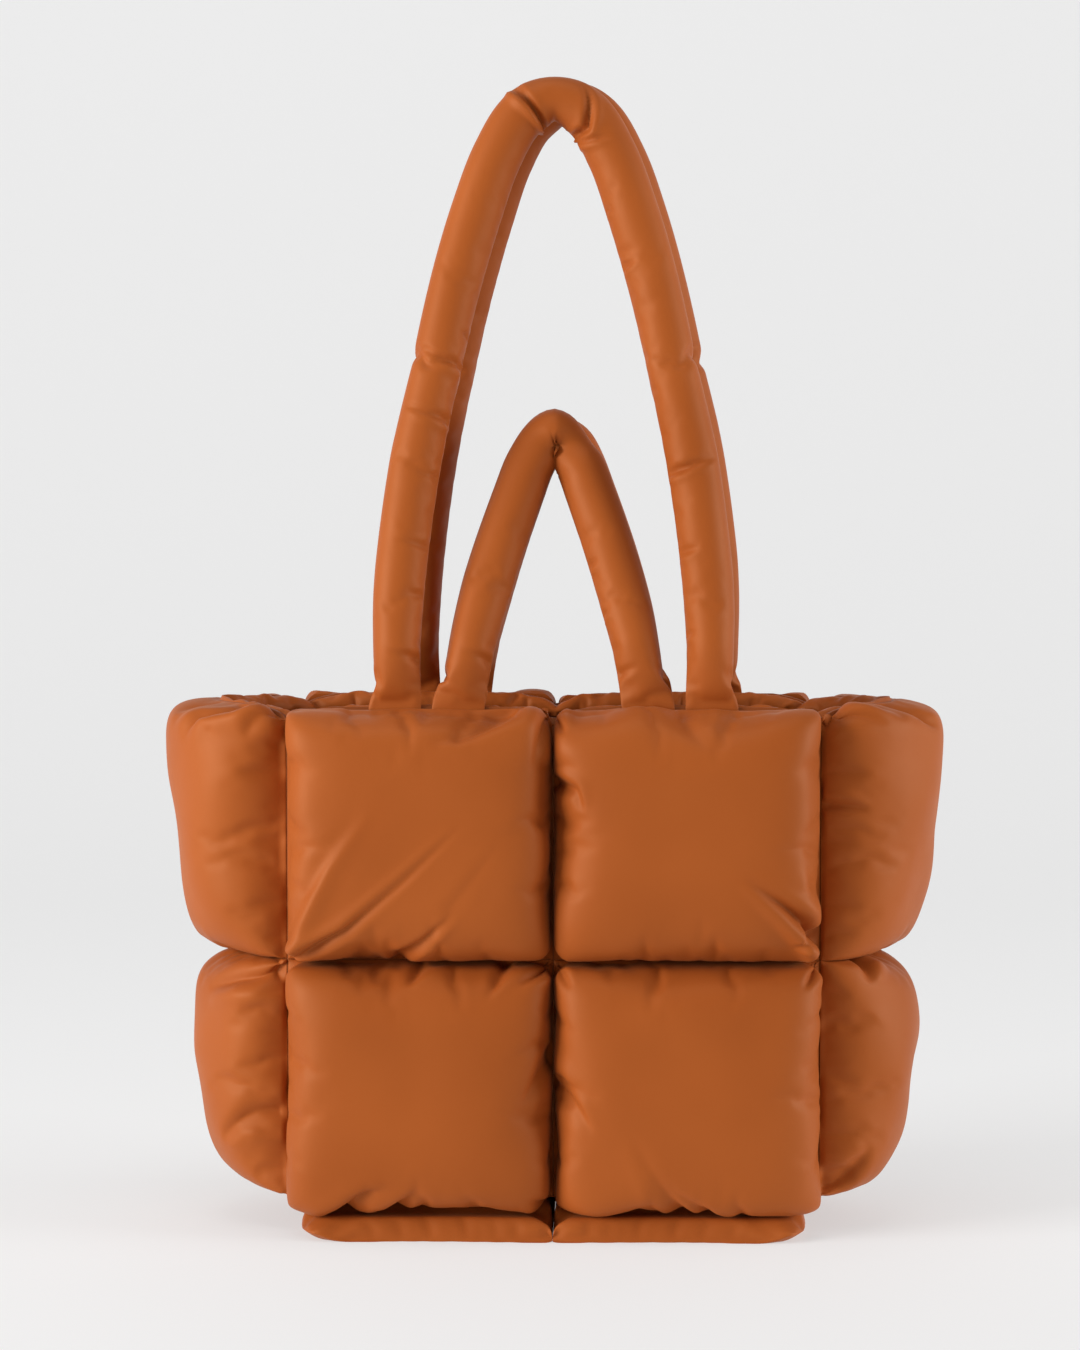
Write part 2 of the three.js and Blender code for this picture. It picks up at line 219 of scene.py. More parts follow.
def table_value(rows, given, wanted, x):
    """Reads a smooth curve through a table's rows."""
    xs = [row[given] for row in rows]
    ys = [row[wanted] for row in rows]
    slopes = np.gradient(ys, xs)
    k = min(len(xs) - 2, max(0, int(np.searchsorted(xs, x)) - 1))
    span = xs[k + 1] - xs[k]
    t = min(1.0, max(0.0, (x - xs[k]) / span))
    return (
        (2 * t**3 - 3 * t**2 + 1) * ys[k]
        + (t**3 - 2 * t**2 + t) * span * slopes[k]
        + (3 * t**2 - 2 * t**3) * ys[k + 1]
        + (t**3 - t**2) * span * slopes[k + 1]
    )


def wall_point(side, along, z, inset=0.0):
    """A point of the lining's outside. Side 0 is the front, 1 the right gusset, 2 the back and 3 the left gusset."""
    s = sizes()
    across = 2 * along - 1
    facing = 1 if side < 2 else -1
    half_width, half_depth = s.panel_width / 2, s.mouth_depth / 2
    if side % 2 == 0:
        return Vector((facing * across * (half_width - inset), -facing * (half_depth - inset), z))
    height = (z - s.lining_bottom) / (s.rim_height - s.lining_bottom)
    reach = s.gusset_reach * table_value(GUSSET_PROFILE, "height", "reach", min(1.0, max(0.0, height)))
    fold = reach * (1 - abs(across) ** FOLD_ROUNDNESS)
    return Vector((facing * (half_width - inset + fold), facing * across * (half_depth - inset), z))


def outward(surface, u, v):
    """The unit vector that points out of a surface given as a function of two shares."""
    step = 0.01
    u0, u1 = max(0.0, u - step), min(1.0, u + step)
    v0, v1 = max(0.0, v - step), min(1.0, v + step)
    return (surface(u1, v) - surface(u0, v)).cross(surface(u, v1) - surface(u, v0)).normalized()


def pillow_profile(width, crown, fullness, steps):
    """Across a pad, evenly along its cloth: where each point lies as a share of the width, and its plumpness."""
    share = 0.5 - 0.5 * np.cos(np.linspace(0, math.pi, 3001))
    share = 0.5 - 0.5 * np.cos(math.pi * share)
    plump = np.clip(1 - np.abs(2 * share - 1) ** fullness, 0, None) ** (1 / fullness)
    length = np.concatenate([[0], np.cumsum(np.hypot(np.diff(share) * width, np.diff(plump) * crown))])
    even = np.linspace(0, length[-1], steps + 1)
    return np.interp(even, length, share), np.interp(even, length, plump)


def add_piece(name, bm):
    """Makes a bmesh an object of the scene."""
    mesh = bpy.data.meshes.new(name)
    bm.to_mesh(mesh)
    bm.free()
    piece = bpy.data.objects.new(name, mesh)
    bpy.context.collection.objects.link(piece)
    return piece


def read_points(mesh):
    points = np.empty(len(mesh.vertices) * 3)
    mesh.vertices.foreach_get("co", points)
    return points.reshape(-1, 3)


def write_points(mesh, points):
    mesh.vertices.foreach_set("co", np.ascontiguousarray(points).ravel())
    mesh.update()


def read_attribute(mesh, name):
    values = np.empty(len(mesh.vertices))
    mesh.attributes[name].data.foreach_get("value", values)
    return values


def pillow(name, surface, width, height, crown, fullness, steps, stand_off):
    """A closed pad on a surface: a crowned sheet and a flat one that share their sewn border."""
    across, across_plump = pillow_profile(width, crown, fullness, steps)
    up, up_plump = pillow_profile(height, crown, fullness, steps)
    bm = bmesh.new()
    layers = [bm.verts.layers.float.new(label) for label in ("across", "up", "front", "sewn")]
    cloth = bm.loops.layers.uv.new("cloth")
    bmesh.ops.create_grid(bm, x_segments=steps, y_segments=steps, size=0.5)
    places = {}
    for vert in bm.verts:
        places[vert] = round((vert.co.x + 0.5) * steps), round((vert.co.y + 0.5) * steps)
    for face in bm.faces:
        for loop in face.loops:
            i, j = places[loop.vert]
            loop[cloth].uv = (i / steps * (width + 1.4 * crown), j / steps * (height + 1.4 * crown))
    for vert, (i, j) in places.items():
        u, v = across[i], up[j]
        foot = surface(u, v)
        normal = outward(surface, u, v)
        border = i in (0, steps) or j in (0, steps)
        plump = across_plump[i] * up_plump[j]
        vert.co = foot + normal * (CLEARANCE + stand_off(foot.z) + 0.92 * crown * plump)
        for layer, value in zip(layers, (u, v, 0.0 if border else 1.0, 1.0 if border else 0.0)):
            vert[layer] = value
    bm.verts.index_update()
    back = bmesh.ops.duplicate(bm, geom=bm.faces[:])
    for vert in (g for g in back["geom"] if isinstance(g, bmesh.types.BMVert)):
        u, v = vert[layers[0]], vert[layers[1]]
        foot = surface(u, v)
        vert.co = foot + outward(surface, u, v) * (CLEARANCE + stand_off(foot.z))
        vert[layers[2]], vert[layers[3]] = 0.0, 1.0
    bmesh.ops.remove_doubles(bm, verts=bm.verts[:], dist=2e-6)
    bmesh.ops.recalc_face_normals(bm, faces=bm.faces[:])
    return add_piece(name, bm)


def inflate(piece, spare, middle_growth, seam_growth, pressure=None):
    """Blows a padded piece up with its sewn points held. spare is each point's share of the seams' spare cloth."""
    scale = 10.0  # the cloth solver's own values suit pieces of about a metre
    mesh = piece.data
    start = read_points(mesh)
    middle = start.mean(axis=0)
    write_points(mesh, (start - middle) * scale)
    sewn = read_attribute(mesh, "sewn") > 0.5
    held = piece.vertex_groups.new(name="held")
    held.add([int(i) for i in np.flatnonzero(sewn)], 1.0, "REPLACE")
    gathered = piece.vertex_groups.new(name="gathered")
    for i, share in enumerate(spare):
        gathered.add([i], float(share), "REPLACE")
    modifier = piece.modifiers.new("Filling", "CLOTH")
    cloth = modifier.settings
    cloth.quality = 7
    cloth.mass = 0.3
    cloth.tension_stiffness = cloth.compression_stiffness = 30
    cloth.shear_stiffness = 15
    cloth.bending_stiffness = 0.05
    cloth.tension_damping = cloth.compression_damping = cloth.shear_damping = 5
    cloth.bending_damping = 0.5
    cloth.use_pressure = True
    cloth.uniform_pressure_force = pressure or puff().pressure
    cloth.vertex_group_mass = held.name
    cloth.vertex_group_shrink = gathered.name
    cloth.shrink_min, cloth.shrink_max = -middle_growth, -seam_growth
    cloth.effector_weights.gravity = 0
    modifier.collision_settings.use_collision = False
    modifier.point_cache.frame_start = 1
    modifier.point_cache.frame_end = puff().frames
    scene = bpy.context.scene
    for step in range(1, puff().frames + 1):
        scene.frame_set(step)
    filled = piece.evaluated_get(bpy.context.evaluated_depsgraph_get())
    points = read_points(filled.data) / scale + middle
    piece.modifiers.remove(modifier)
    piece.vertex_groups.clear()
    scene.frame_set(1)
    moved = points - start
    reach = np.linalg.norm(moved, axis=1, keepdims=True)
    cap = 0.016
    write_points(mesh, start + moved * np.minimum(1.0, cap / np.maximum(reach, 1e-9)))


def refine(piece, levels=1):
    """Subdivides a piece's own mesh smoothly, so that folds can be worked into it."""
    modifier = piece.modifiers.new("Refine", "SUBSURF")
    modifier.levels = modifier.render_levels = levels
    filled = piece.evaluated_get(bpy.context.evaluated_depsgraph_get())
    rough = piece.data
    piece.data = bpy.data.meshes.new_from_object(filled)
    piece.data.name = piece.name
    piece.modifiers.clear()
    bpy.data.meshes.remove(rough)


def soft_limit(values, limit, give):
    """Values held below a limit, closing in on it smoothly over their last stretch."""
    over = np.maximum(values - (limit - give), 0)
    return np.minimum(values, limit - give) + give * (1 - np.exp(-over / give))


def round_corners(across, up, half_width, half_height, radius):
    """Pulls places on a pad in from its square corners onto round ones."""
    far_across = np.maximum(np.abs(across) - (half_width - radius), 0)
    far_up = np.maximum(np.abs(up) - (half_height - radius), 0)
    far = np.hypot(far_across, far_up)
    kept = np.where(far > radius, radius / np.maximum(far, 1e-9), 1.0)
    return across - np.sign(across) * far_across * (1 - kept), up - np.sign(up) * far_up * (1 - kept)


def point_normals(mesh):
    normals = np.empty(len(mesh.vertices) * 3)
    mesh.vertex_normals.foreach_get("vector", normals)
    return normals.reshape(-1, 3)


def work_folds(piece, chart, folds):
    """Works folds into a pad. chart gives each point's place on the pad in metres, and a fold's path is in shares."""
    mesh = piece.data
    points, normals = read_points(mesh), point_normals(mesh)
    places, extent = chart(points, mesh)
    front = read_attribute(mesh, "front")
    depth = np.zeros(len(points))
    for fold in folds:
        path = np.array(fold["path"]) * extent
        lengths = np.linalg.norm(np.diff(path, axis=0), axis=1)
        total = lengths.sum()
        nearest = np.full(len(points), 1e9)
        aside, along = np.zeros(len(points)), np.zeros(len(points))
        before = 0.0
        for a, b, length in zip(path[:-1], path[1:], lengths):
            line = (b - a) / length
            t = np.clip((places - a) @ line, 0, length)
            away = places - (a + t[:, None] * line)
            distance = np.linalg.norm(away, axis=1)
            closer = distance < nearest
            nearest = np.where(closer, distance, nearest)
            side = np.sign(line[0] * away[:, 1] - line[1] * away[:, 0])
            aside = np.where(closer, side * distance, aside)
            along = np.where(closer, (before + t) / total, along)
            before += length
        width = fold["width"] * (1 - fold.get("narrows", 0.5) * along)
        fade = 1 - along ** fold.get("fade", 2.0)
        crease = -fold["depth"] * np.exp(-np.abs(aside / width) ** 1.6)
        lip = fold.get("lip", 0.5) * fold["depth"] * np.exp(-(((np.abs(aside) - 2 * width) / (1.3 * width)) ** 2))
        lip *= np.where(aside * fold.get("side", 1) > 0, 1.0, 0.25)
        depth += (crease + lip) * fade
    write_points(mesh, points + normals * (depth * front)[:, None])


def undulate(piece, amount, size, seed):
    """Gives a filled piece the soft swells and hollows of loose down. size is from one swell to the next."""
    mesh = piece.data
    points, normals = read_points(mesh), point_normals(mesh)
    offset = Vector((seed * 7.3, seed * 3.1, seed * 5.7))
    swell = np.array([noise.noise(Vector(point) / size + offset) for point in points])
    free = read_attribute(mesh, "front")
    write_points(mesh, points + normals * (amount * swell * free)[:, None])


def finish_piece(piece, material, nodes, levels=1):
    """Gives a piece its cloth, its smooth surface and its place in the frame."""
    piece.data.materials.clear()
    piece.data.materials.append(material)
    for polygon in piece.data.polygons:
        polygon.use_smooth = True
    if levels:
        surface = piece.modifiers.new("Smooth surface", "SUBSURF")
        surface.levels = surface.render_levels = levels
    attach(piece, "root")
    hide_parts(*nodes)


class Socket:
    """A value in a material, for use in plain expressions."""

    def __init__(self, tree, socket):
        self.tree, self.socket = tree, socket

    def maths(self, operation, *values):
        node = self.tree.nodes.new("ShaderNodeMath")
        node.operation = operation
        for given, value in zip(node.inputs, values):
            if isinstance(value, Socket):
                self.tree.links.new(value.socket, given)
            else:
                given.default_value = value
        return Socket(self.tree, node.outputs[0])

    def __add__(self, other):
        return self.maths("ADD", self, other)

    __radd__ = __add__

    def __sub__(self, other):
        return self.maths("SUBTRACT", self, other)

    def __rsub__(self, other):
        return self.maths("SUBTRACT", other, self)

    def __mul__(self, other):
        return self.maths("MULTIPLY", self, other)

    __rmul__ = __mul__

    def sine(self):
        return self.maths("SINE", self)

    def power(self, other):
        return self.maths("POWER", self, other)

    def clamped(self):
        return self.maths("MINIMUM", self.maths("MAXIMUM", self, 0.0), 1.0)


class Finish:
    """One material and its nodes."""

    def __init__(self, name):
        self.material = bpy.data.materials.new(name)
        self.material.use_nodes = True
        self.tree = self.material.node_tree
        self.shader = next(node for node in self.tree.nodes if node.type == "BSDF_PRINCIPLED")

    def node(self, kind, settings=None, values=None, output=0):
        """Adds a node: its settings first, then the values or links of its sockets. Gives one of its outputs."""
        made = self.tree.nodes.new(kind)
        for key, value in (settings or {}).items():
            setattr(made, key, value)
        for key, value in (values or {}).items():
            if isinstance(value, Socket):
                self.tree.links.new(value.socket, made.inputs[key])
            else:
                made.inputs[key].default_value = value
        return Socket(self.tree, made.outputs[output])

    def surface(self, **values):
        """Sets the shader's sockets. A name's underscores are spaces."""
        for key, value in values.items():
            given = self.shader.inputs[key.replace("_", " ")]
            if isinstance(value, Socket):
                self.tree.links.new(value.socket, given)
            else:
                given.default_value = value


def nylon(name, colour, light, sheen):
    """Fine satin nylon: a tight plain weave, faint crinkles, and paler cloth in broad random patches."""
    finish = Finish(name)
    place = finish.node("ShaderNodeTexCoord", output="Object")
    cloth = finish.node("ShaderNodeUVMap", {"uv_map": "cloth"})
    noise_of = lambda scale, detail, vector=place, roughness=0.5: finish.node(
        "ShaderNodeTexNoise", values={"Vector": vector, "Scale": scale, "Detail": detail, "Roughness": roughness}
    )
    broad, fine = noise_of(9.0, 2.0), noise_of(70.0, 3.0)
    threads = finish.node("ShaderNodeSeparateXYZ", values={"Vector": cloth})
    warp = Socket(finish.tree, threads.socket.node.outputs[0])
    weft = Socket(finish.tree, threads.socket.node.outputs[1])
    pitch = 2 * math.pi / 0.0008
    weave = (warp * pitch).sine() * (weft * pitch).sine()
    patchy = finish.node("ShaderNodeMapRange", values={"Value": broad, "From Min": 0.35, "From Max": 0.65})
    tint = finish.node(
        "ShaderNodeMix", {"data_type": "RGBA"}, {"Factor": patchy, 6: (*colour, 1), 7: (*light, 1)}, output=2
    )
    crinkle = noise_of(120.0, 4.0, roughness=0.6)
    height = weave * 0.00001 + crinkle * 0.00012 + fine * 0.0002
    bump = finish.node("ShaderNodeBump", values={"Height": height, "Distance": 1.0, "Strength": 0.5})
    finish.surface(
        Base_Color=tint, Roughness=(0.5 + fine * 0.1).clamped(), Normal=bump, Sheen_Weight=sheen,
        Sheen_Roughness=0.45, Sheen_Tint=(1.0, 0.6, 0.3, 1.0), IOR=1.45, Specular_IOR_Level=0.42,
        Specular_Tint=(1.0, 0.62, 0.36, 1.0),
    )
    return finish.material


def puff_cloth():
    made = bpy.data.materials.get("puff_nylon")
    return made or nylon("puff_nylon", colours().nylon, colours().nylon_light, 0.06)


def lining_cloth():
    made = bpy.data.materials.get("lining_nylon")
    return made or nylon("lining_nylon", colours().lining, colours().lining, 0.05)


# The rows of pads up a wall
ROWS = ("lower", "upper")


def row_span(row):
    s = sizes()
    if row == "lower":
        return s.lining_bottom + CLEARANCE, s.row_seam_height - CLEARANCE / 2
    return s.row_seam_height + CLEARANCE / 2, s.rim_height


def room_for_tabs(z):
    """How far a panel pad stands off the lining near the rim, where the handles' ends are sewn in."""
    s = sizes()
    return s.tab_room * smooth((z - (s.rim_height - 0.036)) / 0.0144)


# Folds in the pads, each along a path in shares of the pad's width and height. Widths and depths are in metres.
# side is where the lip stands: 1 to the left of the path and -1 to its right.
FOLDS = {
    "front_upper_left_pad": [
        {"path": [(0.03, 0.0), (0.1, 0.18), (0.2, 0.39), (0.34, 0.61)], "width": 0.0065, "depth": -0.006, "lip": 0.5,
         "fade": 3},
        {"path": [(0.02, 0.02), (0.24, 0.155), (0.45, 0.35), (0.66, 0.56)], "width": 0.0032, "depth": 0.0062,
         "fade": 4, "lip": 0.7},
        {"path": [(0.42, 0.0), (0.52, 0.1), (0.64, 0.24)], "width": 0.0034, "depth": 0.0052, "side": -1, "fade": 3},
        {"path": [(0.62, 0.25), (0.8, 0.5)], "width": 0.004, "depth": 0.0018},
        {"path": [(0.84, 1.02), (0.7, 0.94), (0.54, 0.88)], "width": 0.007, "depth": 0.0055},
        {"path": [(1.0, 1.0), (0.95, 0.86), (0.93, 0.78)], "width": 0.007, "depth": 0.006},
    ],
    "front_upper_right_pad": [
        {"path": [(1.02, 0.06), (0.95, 0.16), (0.85, 0.25), (0.7, 0.37)], "width": 0.0045, "depth": 0.011,
         "side": 1, "lip": 0.9, "fade": 3},
        {"path": [(1.0, 0.12), (0.93, 0.13), (0.89, 0.08)], "width": 0.003, "depth": 0.0065, "fade": 4},
        {"path": [(1.0, 0.3), (0.95, 0.4)], "width": 0.006, "depth": 0.002},
        {"path": [(0.0, 0.71), (0.08, 0.69), (0.11, 0.61)], "width": 0.005, "depth": 0.00525},
        {"path": [(0.0, 0.98), (0.05, 0.92)], "width": 0.005, "depth": 0.0045},
        {"path": [(0.48, 1.02), (0.58, 0.86)], "width": 0.008, "depth": 0.0033},
    ],
    "front_lower_left_pad": [
        {"path": [(0.52, 1.02), (0.46, 0.93)], "width": 0.004, "depth": 0.00375},
        {"path": [(1.0, 1.0), (0.87, 0.92)], "width": 0.004, "depth": 0.00525},
        {"path": [(0.82, 1.0), (0.75, 0.87)], "width": 0.004, "depth": 0.0033},
        {"path": [(1.02, 0.62), (0.89, 0.45)], "width": 0.007, "depth": 0.0045},
        {"path": [(0.2, 0.0), (0.28, 0.1), (0.4, 0.17)], "width": 0.006, "depth": 0.0045},
        {"path": [(0.4, 0.0), (0.5, 0.16)], "width": 0.005, "depth": 0.00375},
        {"path": [(1.0, 0.0), (0.9, 0.11)], "width": 0.005, "depth": 0.0045},
    ],
    "front_lower_right_pad": [
        {"path": [(0.5, 0.0), (0.42, 0.15), (0.3, 0.36)], "width": 0.006, "depth": 0.0045},
        {"path": [(0.6, 0.0), (0.52, 0.1), (0.43, 0.18)], "width": 0.005, "depth": 0.00375},
        {"path": [(0.0, 0.5), (0.08, 0.44), (0.16, 0.36)], "width": 0.006, "depth": 0.0045},
        {"path": [(0.0, 1.0), (0.08, 0.9)], "width": 0.004, "depth": 0.0045},
        {"path": [(1.0, 1.0), (0.93, 0.9)], "width": 0.004, "depth": 0.0045},
    ],
    "left_upper_gusset_pad": [
        {"path": [(0.86, 1.0), (0.74, 0.94), (0.7, 0.84)], "width": 0.006, "depth": 0.00675},
        {"path": [(0.98, 1.0), (0.94, 0.87)], "width": 0.004, "depth": 0.0045},
    ],
    "left_lower_gusset_pad": [
        {"path": [(1.0, 0.95), (0.86, 0.92), (0.68, 0.85)], "width": 0.007, "depth": 0.0075},
        {"path": [(1.0, 0.36), (0.8, 0.26)], "width": 0.006, "depth": 0.0045},
    ],
    "right_upper_gusset_pad": [
        {"path": [(0.0, 1.0), (0.14, 0.9)], "width": 0.005, "depth": 0.006},
        {"path": [(0.0, 0.62), (0.07, 0.61)], "width": 0.003, "depth": 0.00375},
        {"path": [(0.3, 1.0), (0.42, 0.88)], "width": 0.006, "depth": 0.0045},
    ],
    "right_lower_gusset_pad": [
        {"path": [(0.16, 1.0), (0.12, 0.9)], "width": 0.005, "depth": 0.006},
        {"path": [(0.0, 0.05), (0.1, 0.24)], "width": 0.005, "depth": 0.006},
    ],
}


def seam_nearness(mesh, width, height):
    """How near each point is to its pad's seams: 1 at the seam and 0 past the gathers' reach."""
    across, up = read_attribute(mesh, "across"), read_attribute(mesh, "up")
    distance = np.minimum(np.minimum(across, 1 - across) * width, np.minimum(up, 1 - up) * height)
    return np.clip(1 - distance / puff().gather_reach, 0, 1)


def make_pad(name, surface, width, height, crown, fullness, steps, press, stand_off=lambda z: 0.0, levels=1):
    """Cuts, fills and folds one pad, and presses it against its neighbours."""
    piece = pillow(name, surface, width, height, crown, fullness, steps, stand_off)
    inflate(piece, seam_nearness(piece.data, width, height), puff().middle_growth, puff().seam_growth)
    refine(piece)

    def chart(points, mesh):
        shares = np.stack([read_attribute(mesh, "across"), read_attribute(mesh, "up")], axis=1)
        extent = np.array([width, height])
        return shares * extent, extent

    undulate(piece, 0.004, 0.045, seed=len(name))
    work_folds(piece, chart, FOLDS.get(name, []))
    press(piece.data)
    finish_piece(piece, puff_cloth(), [name], levels=levels)
    return piece


# How far a panel pad bulges past the panel's end, over the gusset beside it
OVERLAPS = {"front_lower_right_pad": 0.007, "back_lower_left_pad": 0.004, "front_lower_left_pad": 0.002}


def press_panel_pad(mesh, centre, row, height, overlap):
    """Presses a panel pad against its neighbours. Away from its sewn back it gives softly and its corners are round."""
    s = sizes()
    points = read_points(mesh)
    half_width, half_height = s.panel_width / 4 - CLEARANCE / 2, height / 2
    if row == "upper":
        wave = np.array([noise.noise(Vector((x / 0.035, centre.y, 0.0))) for x in points[:, 0]])
        near_rim = np.clip((points[:, 2] - centre.z) / half_height, 0, 1) ** 3
    back = s.mouth_depth / 2 + CLEARANCE
    stand = (np.abs(points[:, 1]) - back) / s.panel_crown
    free = np.clip(stand / 0.3, 0, 1)
    across, up = points[:, 0] - centre.x, points[:, 2] - centre.z
    outer = np.sign(across) == np.sign(centre.x)
    limit = half_width + np.where(outer, overlap, 0) * np.clip((stand - 0.1) / 0.3, 0, 1)
    soft = np.sign(across) * soft_limit(np.abs(across), limit, 0.003)
    hard = np.clip(across, -half_width, half_width)
    across = hard + (soft - hard) * free
    if row == "lower":
        sag = 0.016 * np.clip(stand, 0, 1) * np.clip(0.5 - up / height, 0, 1) ** 2
        lowest = -half_height - 0.008 * free
    else:
        sag, lowest = np.zeros(len(points)), np.full(len(points), -half_height)
        up = up - near_rim * free * (0.0035 + 0.005 * wave)
    highest = half_height + (0.004 * free if row == "upper" else 0)
    up = np.clip(up, lowest, highest)
    soft = np.where(up > 0, soft_limit(up, highest, 0.004), -soft_limit(-up, -lowest, 0.003))
    up = up + (soft - up) * free
    middle = (highest + lowest) / 2
    corner = 0.0001 + 0.015 * np.clip(stand / 0.08, 0, 1)
    rounded = round_corners(across, up - middle, limit, (highest - lowest) / 2, corner)
    points[:, 0] = centre.x + rounded[0]
    points[:, 2] = centre.z + rounded[1] + middle - sag
    points[:, 2] = np.maximum(points[:, 2], centre.z + lowest)
    points[:, 1] = np.sign(centre.y) * soft_limit(np.abs(points[:, 1]), back + s.panel_crown + 0.008, 0.02)
    write_points(mesh, points)


class TOTE_OT_panel_pads(bpy.types.Operator):
    """Fill the eight square pads of the front and back panels"""

    bl_idname = "tote.panel_pads"
    bl_label = "Panel pads"

    def execute(self, context):
        s = sizes()
        for side, panel in ((0, "front"), (2, "back")):
            for column, hand in enumerate(("left", "right")):
                for row in ROWS:
                    low, high = row_span(row)
                    gap = CLEARANCE / s.panel_width

                    def surface(u, v, side=side, column=column, low=low, high=high, gap=gap):
                        along = 0.5 * column + gap + u * (0.5 - 2 * gap)
                        return wall_point(side, along, low + (high - low) * v)

                    centre = surface(0.5, 0.5)
                    overlap = OVERLAPS.get(f"{panel}_{row}_{hand}_pad", 0.001)

                    def press(mesh, centre=centre, row=row, height=high - low, overlap=overlap):
                        press_panel_pad(mesh, centre, row, height, overlap)

                    make_pad(
                        f"{panel}_{row}_{hand}_pad", surface, s.panel_width / 2, high - low, s.panel_crown, 4.0,
                        puff().pad_steps, press, room_for_tabs, levels=1 if panel == "front" else 0,
                    )
        return {"FINISHED"}


def press_gusset_pad(mesh, facing, row, width):
    """Presses a gusset pad against its neighbours. The upper pads stand up over the rim."""
    s = sizes()
    points = read_points(mesh)
    low, high = row_span(row)
    free = (1 - seam_nearness(mesh, width, high - low)) * read_attribute(mesh, "front")
    if row == "upper":
        rise = np.clip((points[:, 2] - high + 0.05) / 0.05, 0, 1)
        corner = 1 - np.array([smooth((abs(x) - s.panel_width / 2) / 0.02) for x in points[:, 0]])
        points[:, 2] += (0.016 * free - 0.008 * corner) * rise**2
        points[:, 0] += facing * 0.012 * free * rise**3
        beyond = facing * points[:, 0] - s.panel_width / 2
        high = high - 0.005 + 0.017 * np.array([smooth(b / 0.026) for b in beyond])
    soft = soft_limit(points[:, 2], high, 0.004)
    soft = -soft_limit(-soft, -low, 0.003)
    held = np.clip(free / 0.12, 0, 1)
    points[:, 2] = np.clip(points[:, 2] + (soft - points[:, 2]) * held, low, np.maximum(high, row_span(row)[1]))
    beside = s.panel_width / 2 + CLEARANCE
    points[:, 0] = facing * np.maximum(facing * points[:, 0], beside)
    write_points(mesh, points)


class TOTE_OT_gusset_pads(bpy.types.Operator):
    """Fill the four pads of the gussets, which fold outwards at their middles"""

    bl_idname = "tote.gusset_pads"
    bl_label = "Gusset pads"

    def execute(self, context):
        s = sizes()
        for side, hand, facing in ((3, "left", -1), (1, "right", 1)):
            for row in ROWS:
                low, high = row_span(row)
                gap = CLEARANCE / s.mouth_depth

                def surface(u, v, side=side, low=low, high=high, gap=gap):
                    return wall_point(side, gap + u * (1 - 2 * gap), low + (high - low) * v)

                width = 2 * (surface(0.5, 0.5) - surface(0, 0.5)).length

                def press(mesh, facing=facing, row=row, width=width):
                    press_gusset_pad(mesh, facing, row, width)

                make_pad(
                    f"{hand}_{row}_gusset_pad", surface, width, high - low, s.gusset_crown, 3.4,
                    puff().gusset_steps, press,
                )
        return {"FINISHED"}


def base_thickness_at(y):
    """Thickness of the base pads: full under the lining, and less where the lower pads sag over them."""
    s = sizes()
    return s.base_thickness - 0.0076 * smooth((abs(y) - s.mouth_depth / 2) / 0.012)


